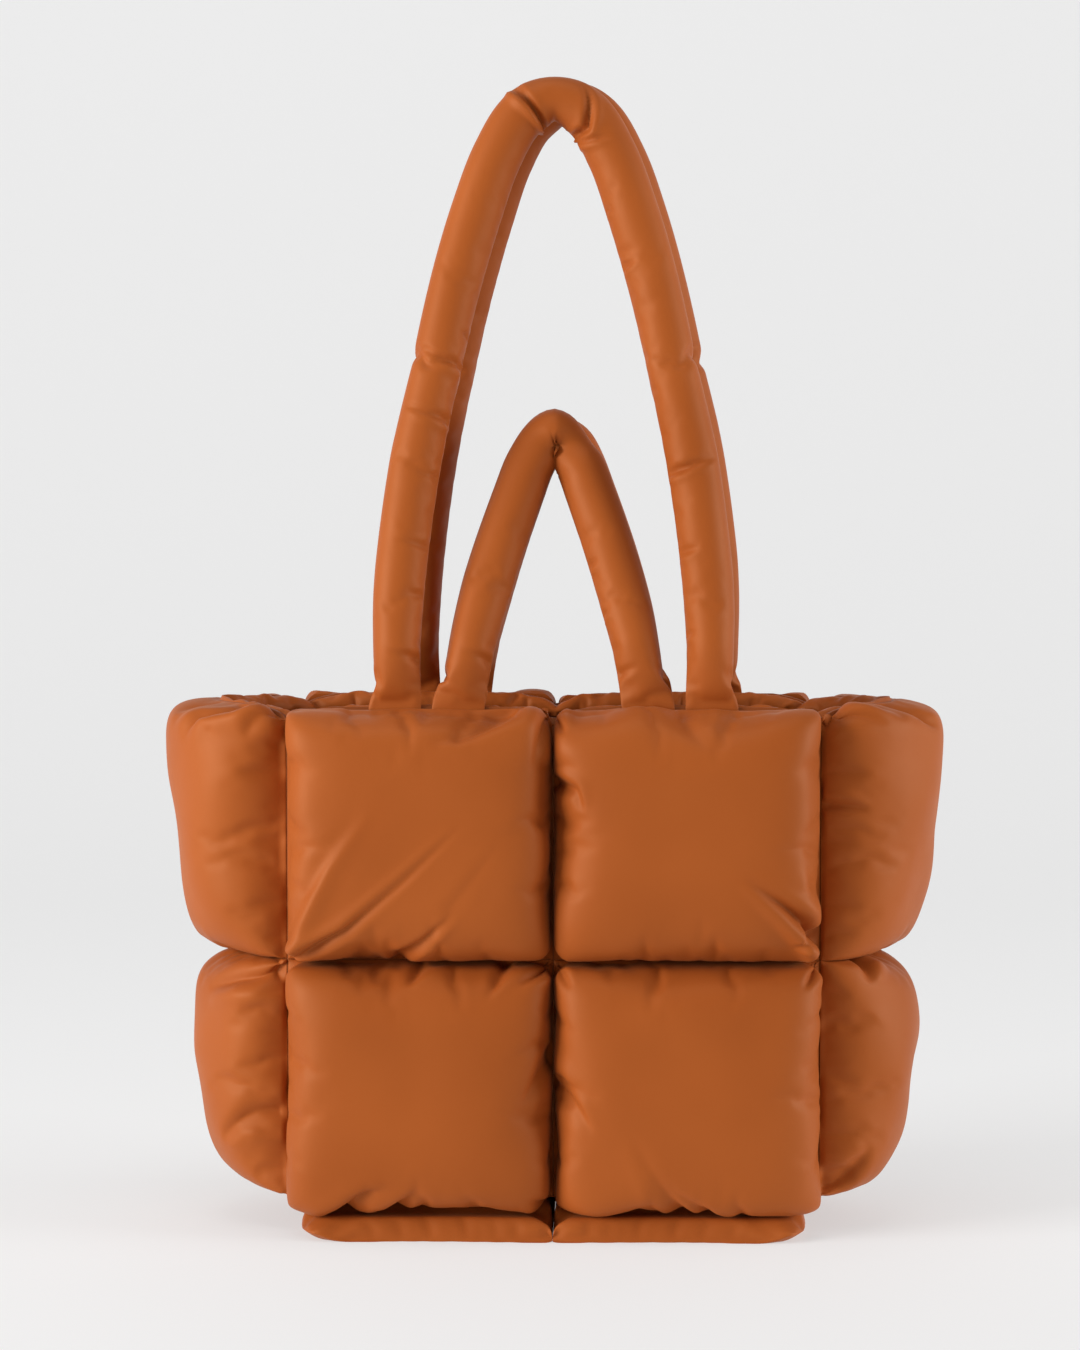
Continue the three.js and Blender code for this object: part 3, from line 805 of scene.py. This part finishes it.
class TOTE_OT_base_pads(bpy.types.Operator):
    """Fill the two flat pads that the bag stands on"""

    bl_idname = "tote.base_pads"
    bl_label = "Base pads"

    def execute(self, context):
        s = sizes()
        steps, long_steps = 36, 64
        width, depth = s.panel_width / 2, s.mouth_depth + 2 * s.base_overhang
        shares, share_plump = pillow_profile(width, s.base_thickness, 3.4, steps)
        depths, depth_plump = pillow_profile(depth, s.base_thickness, 3.4, long_steps)
        for hand, name in ((-1, "base_left_pad"), (1, "base_right_pad")):
            bm = bmesh.new()
            layers = [bm.verts.layers.float.new(label) for label in ("across", "up", "front", "sewn")]
            cloth = bm.loops.layers.uv.new("cloth")
            bmesh.ops.create_grid(bm, x_segments=steps, y_segments=long_steps, size=0.5)
            places = {v: (round((v.co.x + 0.5) * steps), round((v.co.y + 0.5) * long_steps)) for v in bm.verts}
            lows = {}
            for vert, (i, j) in places.items():
                u, v, end = shares[i], depths[j], abs(2 * depths[j] - 1)
                edge = u if hand > 0 else 1 - u
                steep = (1 - min(1.0, abs(2 * u - 1)) ** 14) ** (1 / 14)
                plump = depth_plump[j] * (steep if edge < 0.5 else share_plump[i])
                seam = 0.001 + 0.004 * smooth((edge - 0.88) / 0.12)
                low = seam * (1 - depth_plump[j] * smooth((1 - edge) / 0.1))
                lows[i, j] = low
                x = 0.00005 + edge * (width - 0.012 - 0.012 * end**8)
                y = (v - 0.5) * (depth - 0.018) * (1 - 0.03 * abs(2 * u - 1) ** 10)
                z = seam + (base_thickness_at(y) - seam) * plump
                bulge = math.sin(math.pi * min(1.0, z / base_thickness_at(y))) ** 0.6
                y += math.copysign(0.008 * bulge * smooth((end - 0.7) / 0.3), y)
                x += 0.006 * bulge * smooth((edge - 0.8) / 0.2)
                vert.co = (hand * x, y, z)
                border = i in (0, steps) or j in (0, long_steps)
                for layer, value in zip(layers, (u, v, 1.0, 1.0 if border else 0.0)):
                    vert[layer] = value
            for face in bm.faces:
                for loop in face.loops:
                    loop[cloth].uv = loop.vert.co.x, loop.vert.co.y
            under = bmesh.ops.duplicate(bm, geom=bm.faces[:])
            for upper, (i, j) in places.items():
                vert = under["vert_map"][upper]
                vert[layers[2]] = 0.0
                vert.co.z = lows[i, j] if not upper[layers[3]] else upper.co.z
            bmesh.ops.remove_doubles(bm, verts=bm.verts[:], dist=2e-6)
            bmesh.ops.recalc_face_normals(bm, faces=bm.faces[:])
            piece = add_piece(name, bm)
            inflate(piece, seam_nearness(piece.data, width, depth), 0.025, 0.16, pressure=6.0)
            points = read_points(piece.data)
            inner = np.maximum(hand * points[:, 0], 0)
            inner = np.where(inner < 0.01, inner**2.2 / 0.01**1.2, inner)
            points[:, 0] = hand * np.maximum(inner, 0.00003)
            ceiling = np.array([base_thickness_at(y) for y in points[:, 1]])
            points[:, 2] = np.clip(points[:, 2], 0.0, ceiling)
            write_points(piece.data, points)
            finish_piece(piece, puff_cloth(), [name])
        return {"FINISHED"}


TAB_THICKNESS = 0.003
TAB_WIDTH = 0.033
TAB_DEPTH = 0.018
FLARE_HEIGHT = 0.042


def smooth_route(knots, per_span=40):
    """Many points on a smooth curve through the knots, without overshoot at uneven spacing."""
    knots = [np.array(k) for k in knots]
    knots = [2 * knots[0] - knots[1], *knots, 2 * knots[-1] - knots[-2]]
    route = []
    for a, b, c, d in zip(knots, knots[1:], knots[2:], knots[3:]):
        times = np.cumsum([0] + [math.sqrt(np.linalg.norm(q - p)) for p, q in ((a, b), (b, c), (c, d))])
        for t in np.linspace(times[1], times[2], per_span, endpoint=False):
            level = [a, b, c, d]
            for reach in (1, 2, 3):
                level = [
                    ((times[i + reach] - t) * p + (t - times[i]) * q) / (times[i + reach] - times[i])
                    if reach < 3 else ((times[2] - t) * p + (t - times[1]) * q) / (times[2] - times[1])
                    for i, (p, q) in enumerate(zip(level, level[1:]))
                ]
            route.append(level[0])
    route.append(knots[-2])
    return np.array(route)


def handle_route(facing, middle, half_spacing, drop, rows):
    """The centreline of a handle from its left sewn end to its right one."""
    s = sizes()
    rim_y = s.mouth_depth / 2 + CLEARANCE + TAB_THICKNESS / 2
    top_y = s.handle_diameter / 2 + CLEARANCE / 2

    def place(hand, rise, spread):
        y = rim_y + (top_y - rim_y) * min(1.0, max(0.0, rise))
        return middle + hand * half_spacing * spread, facing * y, s.rim_height + drop * rise

    def leg(hand):
        low = [place(hand, -share * TAB_DEPTH / drop, 1.0) for share in (1.0, 0.5, 0.0)]
        return low + [place(hand, row["rise"], row["spread"]) for row in rows]

    return smooth_route(leg(-1) + leg(1)[-2::-1])


def make_handle(name, facing, middle, half_spacing, drop, rows, folds, pinches):
    """Fills one padded handle: a tube of cloth sewn up along its inner edge, flat at both sewn ends."""
    s = sizes()
    route = handle_route(facing, middle, half_spacing, drop, rows)
    lengths = np.concatenate([[0], np.cumsum(np.linalg.norm(np.diff(route, axis=0), axis=1))])
    total = lengths[-1]
    around, along = 32, int(total / 0.0036)
    centres = np.stack([np.interp(np.linspace(0, total, along + 1), lengths, route[:, k]) for k in range(3)], 1)
    bm = bmesh.new()
    layers = [bm.verts.layers.float.new(label) for label in ("across", "up", "front", "sewn")]
    cloth = bm.loops.layers.uv.new("cloth")
    bmesh.ops.create_grid(bm, x_segments=around, y_segments=along, size=0.5)
    places = {v: (round((v.co.x + 0.5) * around), round((v.co.y + 0.5) * along)) for v in bm.verts}
    for face in bm.faces:
        for loop in face.loops:
            i, j = places[loop.vert]
            loop[cloth].uv = (i / around * math.pi * s.handle_diameter, j / along * total)
    depthwards_all = []
    for j in range(along + 1):
        tangent = Vector(centres[min(along, j + 1)] - centres[max(0, j - 1)]).normalized()
        depthwards = (Vector((0, 1, 0)) - tangent * tangent.y).normalized()
        depthwards_all.append((depthwards, tangent.cross(depthwards)))
    for vert, (i, j) in places.items():
        height = centres[j][2] - s.rim_height
        rounded = smooth(height / FLARE_HEIGHT)
        kept = 1 - sum(p["depth"] * math.exp(-(((j / along - p["along"]) / p["width"]) ** 2)) for p in pinches)
        half = s.handle_diameter / 2 * 0.95
        half_wide = TAB_WIDTH / 2 + (half * kept - TAB_WIDTH / 2) * rounded
        half_thick = TAB_THICKNESS / 2 + (half - TAB_THICKNESS / 2) * rounded
        depthwards, sidewards = depthwards_all[j]
        angle = math.pi + 2 * math.pi * i / around
        offset = sidewards * (math.cos(angle) * half_wide) + depthwards * (math.sin(angle) * half_thick)
        vert.co = Vector(centres[j]) + offset
        sewn = height < 0.002 or i in (0, around)
        for layer, value in zip(layers, (i / around, j / along, 1.0, 1.0 if sewn else 0.0)):
            vert[layer] = value
    bmesh.ops.remove_doubles(bm, verts=bm.verts[:], dist=2e-6)
    bmesh.ops.holes_fill(bm, edges=[e for e in bm.edges if e.is_boundary], sides=0)
    bmesh.ops.recalc_face_normals(bm, faces=bm.faces[:])
    piece = add_piece(name, bm)
    mesh = piece.data
    share = read_attribute(mesh, "across")
    girth = math.pi * s.handle_diameter
    near = np.clip(1 - np.minimum(share, 1 - share) * girth / 0.016, 0, 1)
    inflate(piece, near, 0.018, 0.17, pressure=8.0)

    def press(mesh):
        points = read_points(mesh)
        points[:, 1] = facing * np.maximum(facing * points[:, 1], CLEARANCE / 2)
        write_points(mesh, points)

    press(mesh)
    refine(piece)

    def chart(points, mesh):
        share = read_attribute(mesh, "across")
        shares = np.stack([np.minimum(share, 1 - share), read_attribute(mesh, "up")], axis=1)
        extent = np.array([girth, total])
        return shares * extent, extent

    plain, share = read_points(piece.data), read_attribute(piece.data, "across")
    work_folds(piece, chart, folds)
    folded = read_points(piece.data)
    away = np.clip(np.minimum(share, 1 - share) / 0.06, 0, 1)[:, None]
    write_points(piece.data, plain + (folded - plain) * away)
    press(piece.data)
    finish_piece(piece, puff_cloth(), [name], levels=0)
    return piece


# Creases across the handles. A path's first share runs round the handle from its inner edge to its outer edge at
# 0.5, in front and behind alike, and the second along the handle from its left end.
LONG_HANDLE_FOLDS = [
    {"path": [(0.0, 0.4815), (0.25, 0.4805), (0.5, 0.479)], "width": 0.0022, "depth": 0.0056, "lip": 0.7, "side": -1,
     "fade": 6, "narrows": 0.2},
    {"path": [(0.0, 0.534), (0.17, 0.538), (0.32, 0.524), (0.44, 0.512)], "width": 0.0032, "depth": 0.0056},
    {"path": [(0.03, 0.541), (0.3, 0.553)], "width": 0.0026, "depth": 0.0036},
    {"path": [(0.0, 0.3), (0.13, 0.304)], "width": 0.0022, "depth": 0.0024},
    {"path": [(0.0, 0.277), (0.2, 0.28), (0.42, 0.287)], "width": 0.0028, "depth": 0.0028, "side": -1},
    {"path": [(0.0, 0.236), (0.25, 0.239), (0.44, 0.241)], "width": 0.0028, "depth": 0.0026, "side": -1},
    {"path": [(0.0, 0.192), (0.22, 0.195)], "width": 0.0026, "depth": 0.0018},
    {"path": [(0.0, 0.14), (0.3, 0.144)], "width": 0.0026, "depth": 0.002},
    {"path": [(0.0, 0.104), (0.18, 0.106)], "width": 0.0026, "depth": 0.0018},
    {"path": [(0.0, 0.056), (0.3, 0.062)], "width": 0.003, "depth": 0.0024},
    {"path": [(0.0, 0.6), (0.12, 0.602)], "width": 0.0024, "depth": 0.002},
    {"path": [(0.0, 0.646), (0.2, 0.643)], "width": 0.0024, "depth": 0.0026},
    {"path": [(0.0, 0.804), (0.2, 0.802), (0.45, 0.797)], "width": 0.0026, "depth": 0.003},
    {"path": [(0.0, 0.864), (0.22, 0.861)], "width": 0.0026, "depth": 0.0022},
    {"path": [(0.0, 0.925), (0.15, 0.923)], "width": 0.0026, "depth": 0.0018},
]
SHORT_HANDLE_FOLDS = [
    {"path": [(0.0, 0.5), (0.2, 0.5), (0.38, 0.497)], "width": 0.0034, "depth": 0.0028, "lip": 0.2, "fade": 3},
    {"path": [(0.3, 0.5), (0.7, 0.5)], "width": 0.007, "depth": -0.0045, "fade": 8, "lip": 0.7, "narrows": 0},
    {"path": [(0.0, 0.12), (0.3, 0.125)], "width": 0.003, "depth": 0.002},
    {"path": [(0.5, 0.09), (0.3, 0.075)], "width": 0.003, "depth": 0.0024},
    {"path": [(0.0, 0.72), (0.16, 0.718)], "width": 0.0026, "depth": 0.0022},
    {"path": [(0.0, 0.8), (0.14, 0.798)], "width": 0.0026, "depth": 0.002},
    {"path": [(0.0, 0.9), (0.25, 0.894)], "width": 0.003, "depth": 0.0024},
]
LONG_PINCHES = [{"along": 0.5, "width": 0.012, "depth": 0.14}]
SHORT_PINCHES = [{"along": 0.5, "width": 0.02, "depth": 0.14}]


class TOTE_OT_long_handles(bpy.types.Operator):
    """Fill the two long shoulder handles"""

    bl_idname = "tote.long_handles"
    bl_label = "Long handles"

    def execute(self, context):
        s = sizes()
        half_spacing = s.short_spacing / 2 + s.handle_diameter + s.leg_gap
        for name, facing, middle in (("front_long_handle", -1, 0.0), ("back_long_handle", 1, s.back_handle_shift)):
            folds = LONG_HANDLE_FOLDS if facing < 0 else []
            make_handle(name, facing, middle, half_spacing, s.long_drop, LONG_ROUTE, folds, LONG_PINCHES)
        return {"FINISHED"}


class TOTE_OT_short_handles(bpy.types.Operator):
    """Fill the two short hand-held handles"""

    bl_idname = "tote.short_handles"
    bl_label = "Short handles"

    def execute(self, context):
        s = sizes()
        for name, facing in (("front_short_handle", -1), ("back_short_handle", 1)):
            folds = SHORT_HANDLE_FOLDS if facing < 0 else []
            make_handle(name, facing, 0.0, s.short_spacing / 2, s.short_drop, SHORT_ROUTE, folds, SHORT_PINCHES)
        return {"FINISHED"}


# Where each side of the bag ends on the way round its rim
SIDE_ENDS = (0.0, 0.33, 0.5, 0.83, 1.0)
LINING_WALL = 0.0016


def round_the_bag(share, z, inset):
    """A point of the lining's wall at a share of the way round the bag."""
    share = share % 1.0
    side = min(3, int(np.searchsorted(SIDE_ENDS, share, side="right")) - 1)
    along = (share - SIDE_ENDS[side]) / (SIDE_ENDS[side + 1] - SIDE_ENDS[side])
    return wall_point(side, along, z, inset), side, along


def quilting(side, along, z):
    """How far the lining stands off its seams, from 0 at a seam to 1 in the middle of a cell."""
    s = sizes()
    across = (along * 2) % 1.0 if side % 2 == 0 else along
    low, high = row_span("lower" if z < s.row_seam_height else "upper")
    up = min(1.0, max(0.0, (z - low) / (high - low)))
    plump = lambda t: max(0.0, 1 - abs(2 * t - 1) ** 6)
    return plump(across) * plump(up)


def rim_at(side, along):
    """Height of the rim: puffed up in the middle of each cell and drawn down at the seams."""
    across = (along * 2) % 1.0 if side % 2 == 0 else along
    return sizes().rim_height - 0.009 + 0.011 * (1 - abs(2 * across - 1) ** 3.5) ** 0.6


class TOTE_OT_lining(bpy.types.Operator):
    """Sew the quilted lining and its facing roll round the mouth"""

    bl_idname = "tote.lining"
    bl_label = "Lining and facing"

    def execute(self, context):
        s = sizes()
        around, outside, inside = 240, 12, 60
        rows = outside + inside + 3
        bm = bmesh.new()
        layers = [bm.verts.layers.float.new(label) for label in ("across", "up", "front", "sewn")]
        cloth = bm.loops.layers.uv.new("cloth")
        bmesh.ops.create_grid(bm, x_segments=around, y_segments=rows, size=0.5)
        places = {v: (round((v.co.x + 0.5) * around), round((v.co.y + 0.5) * rows)) for v in bm.verts}
        height = s.rim_height - s.lining_bottom
        for face in bm.faces:
            for loop in face.loops:
                i, j = places[loop.vert]
                loop[cloth].uv = (i / around, j / rows * 2 * height)
        for vert, (i, j) in places.items():
            share = i / around
            up = min(1.0, max(0.0, (j - 1) / outside))
            down = min(1.0, max(0.0, (j - 2 - outside) / inside))
            _, side, along = round_the_bag(share, s.rim_height, 0.0)
            rim = min(s.rim_height, rim_at(side, along))
            if j <= outside + 1:
                vert.co = round_the_bag(share, s.lining_bottom + (rim - s.lining_bottom) * up, 0.0)[0]
            else:
                z = rim - (rim - s.lining_bottom - LINING_WALL) * down
                bulge = 0.004 * quilting(side, along, z)
                vert.co = round_the_bag(share, z, LINING_WALL + bulge)[0]
            if j in (0, rows):
                vert.co.y = 0.0
            for layer, value in zip(layers, (share, j / rows, 1.0, 0.0)):
                vert[layer] = value
        bmesh.ops.remove_doubles(bm, verts=bm.verts[:], dist=2e-6)
        bmesh.ops.recalc_face_normals(bm, faces=bm.faces[:])
        shell = add_piece("lining", bm)
        finish_piece(shell, lining_cloth(), ["lining"], levels=0)

        steps, turns = 340, 18
        bm = bmesh.new()
        layers = [bm.verts.layers.float.new(label) for label in ("across", "up", "front", "sewn")]
        cloth = bm.loops.layers.uv.new("cloth")
        bmesh.ops.create_grid(bm, x_segments=steps, y_segments=turns, size=0.5)
        places = {v: (round((v.co.x + 0.5) * steps), round((v.co.y + 0.5) * turns)) for v in bm.verts}
        for face in bm.faces:
            for loop in face.loops:
                i, j = places[loop.vert]
                loop[cloth].uv = (i / steps, j / turns * 0.045)
        for vert, (i, j) in places.items():
            turn = 2 * math.pi * j / turns
            _, side, along = round_the_bag(i / steps, s.rim_height, 0.0)
            low, high = s.rim_height - s.facing_depth - 0.002, rim_at(side, along)
            z = (low + high) / 2 - (high - low) / 2 * math.cos(turn)
            inset = 0.0045 - 0.0047 * math.sin(turn)
            vert.co = round_the_bag(i / steps, z, inset)[0]
            sewn = j in (0, turns) or 2 * j < turns
            for layer, value in zip(layers, (i / steps, j / turns, 1.0, 1.0 if sewn else 0.0)):
                vert[layer] = value
        bmesh.ops.remove_doubles(bm, verts=bm.verts[:], dist=2e-6)
        bmesh.ops.recalc_face_normals(bm, faces=bm.faces[:])
        roll = add_piece("facing", bm)
        inflate(roll, np.ones(len(roll.data.vertices)), 0.1, 0.22, pressure=8.0)
        finish_piece(roll, puff_cloth(), [])
        return {"FINISHED"}


def thread():
    """Polyester sewing thread: twisted, a little shinier than the cloth."""
    finish = Finish("thread")
    place = finish.node("ShaderNodeTexCoord", output="Object")
    twist = finish.node(
        "ShaderNodeTexWave", {"wave_type": "BANDS", "bands_direction": "DIAGONAL"},
        {"Vector": place, "Scale": 900.0, "Distortion": 1.0},
    )
    bump = finish.node("ShaderNodeBump", values={"Height": twist * 0.00005, "Distance": 1.0})
    shade = finish.node(
        "ShaderNodeMix", {"data_type": "RGBA"},
        {"Factor": twist, 6: (*colours().lining, 1), 7: (*colours().nylon, 1)}, output=2,
    )
    finish.surface(Base_Color=shade, Roughness=0.45, Normal=bump, IOR=1.5)
    return finish.material


class TOTE_OT_stitching(bpy.types.Operator):
    """Sew the row of stitches under the facing"""

    bl_idname = "tote.stitching"
    bl_label = "Stitching"

    def execute(self, context):
        s = sizes()
        z = s.rim_height - s.facing_depth - 0.0035
        stitches, length, radius = 236, 0.0028, 0.0004
        bm = bmesh.new()
        for k in range(stitches):
            share = (k + 0.5) / stitches
            _, side, along = round_the_bag(share, z, 0.0)
            inset = LINING_WALL + 0.004 * quilting(side, along, z) + 0.0002
            place = round_the_bag(share, z, inset)[0]
            ahead = round_the_bag(share + 0.001, z, inset)[0] - round_the_bag(share - 0.001, z, inset)[0]
            turn = ahead.to_track_quat("Z", "Y").to_matrix().to_4x4()
            turn.translation = place
            bmesh.ops.create_cone(
                bm, cap_ends=True, segments=6, radius1=radius, radius2=radius, depth=length, matrix=turn
            )
        bmesh.ops.recalc_face_normals(bm, faces=bm.faces[:])
        piece = add_piece("facing_stitches", bm)
        piece.data.materials.append(thread())
        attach(piece, "root")
        return {"FINISHED"}


class TOTE_OT_studio(bpy.types.Operator):
    """Set up the pale studio floor, the soft lights and the camera"""

    bl_idname = "tote.studio"
    bl_label = "Studio"

    def execute(self, context):
        scene = context.scene
        bm = bmesh.new()
        bmesh.ops.create_grid(bm, x_segments=1, y_segments=60, size=6.0)
        for vert in bm.verts:
            back, radius = vert.co.y - 1.6, 1.6
            turn = min(math.pi / 2, max(0.0, back) / radius)
            rise = max(0.0, back - radius * math.pi / 2)
            vert.co.y = min(vert.co.y, 1.6) + radius * math.sin(turn)
            vert.co.z = radius * (1 - math.cos(turn)) + rise
        floor = add_piece("floor", bm)
        for polygon in floor.data.polygons:
            polygon.use_smooth = True
        paper = Finish("paper")
        paper.surface(
            Base_Color=(*colours().floor, 1), Roughness=0.9, Emission_Color=(1, 1, 1, 1), Emission_Strength=0.485,
        )
        floor.data.materials.append(paper.material)

        world = bpy.data.worlds.new("studio")
        world.use_nodes = True
        sky = world.node_tree.nodes["Background"].inputs
        sky[0].default_value, sky[1].default_value = (1, 1, 1, 1), 0.28
        scene.world = world
        for name, place, target, size, energy in (
            ("left_softbox", (-3.2, -1.6, 1.0), (0, 0, 0.25), 1.7, 137),
            ("right_softbox", (3.2, -0.55, 0.9), (0, 0, 0.25), 1.6, 72),
            ("top_softbox", (-0.2, -0.5, 2.4), (0, 0, 0.2), 1.4, 12),
        ):
            data = bpy.data.lights.new(name, "AREA")
            data.size, data.energy = size, energy
            lamp = bpy.data.objects.new(name, data)
            lamp.location = place
            lamp.rotation_euler = (Vector(target) - Vector(place)).to_track_quat("-Z", "Y").to_euler()
            scene.collection.objects.link(lamp)

        data = bpy.data.cameras.new("camera")
        data.lens = 105.1
        camera = bpy.data.objects.new("camera", data)
        azimuth, height, distance = math.radians(1.0), 0.514, 2.504
        camera.location = (distance * math.sin(azimuth), -distance * math.cos(azimuth), height)
        camera.rotation_euler = (math.radians(90 - 3.84), 0, azimuth + math.radians(0.22))
        scene.collection.objects.link(camera)
        scene.camera = camera
        scene.view_settings.view_transform = "Standard"
        return {"FINISHED"}


class TOTE_PT_panel(bpy.types.Panel):
    """The bag's pieces, in the order that they are made"""

    bl_idname = "TOTE_PT_panel"
    bl_label = "Puffer tote"
    bl_space_type = "VIEW_3D"
    bl_region_type = "UI"
    bl_category = "Puffer tote"

    def draw(self, context):
        for group in (context.scene.tote_sizes, context.scene.tote_puff, context.scene.tote_colours):
            box = self.layout.box()
            for key in group.bl_rna.properties.keys():
                if key not in ("rna_type", "name"):
                    box.prop(group, key)
        for step in STEPS:
            self.layout.operator(step.bl_idname)


STEPS = (
    TOTE_OT_panel_pads,
    TOTE_OT_gusset_pads,
    TOTE_OT_base_pads,
    TOTE_OT_long_handles,
    TOTE_OT_short_handles,
    TOTE_OT_lining,
    TOTE_OT_stitching,
    TOTE_OT_studio,
)
GROUPS = {"tote_sizes": ToteSizes, "tote_puff": TotePuff, "tote_colours": ToteColours}


def register():
    for kind in (*GROUPS.values(), *STEPS, TOTE_PT_panel):
        bpy.utils.register_class(kind)
    for name, group in GROUPS.items():
        setattr(bpy.types.Scene, name, PointerProperty(type=group))


def unregister():
    for name in GROUPS:
        delattr(bpy.types.Scene, name)
    for kind in (TOTE_PT_panel, *STEPS[::-1], *GROUPS.values()):
        bpy.utils.unregister_class(kind)


def main():
    register()
    bpy.ops.tote.panel_pads()
    bpy.ops.tote.gusset_pads()
    bpy.ops.tote.base_pads()
    bpy.ops.tote.long_handles()
    bpy.ops.tote.short_handles()
    bpy.ops.tote.lining()
    bpy.ops.tote.stitching()
    bpy.ops.tote.studio()


if __name__ == "__main__":
    main()
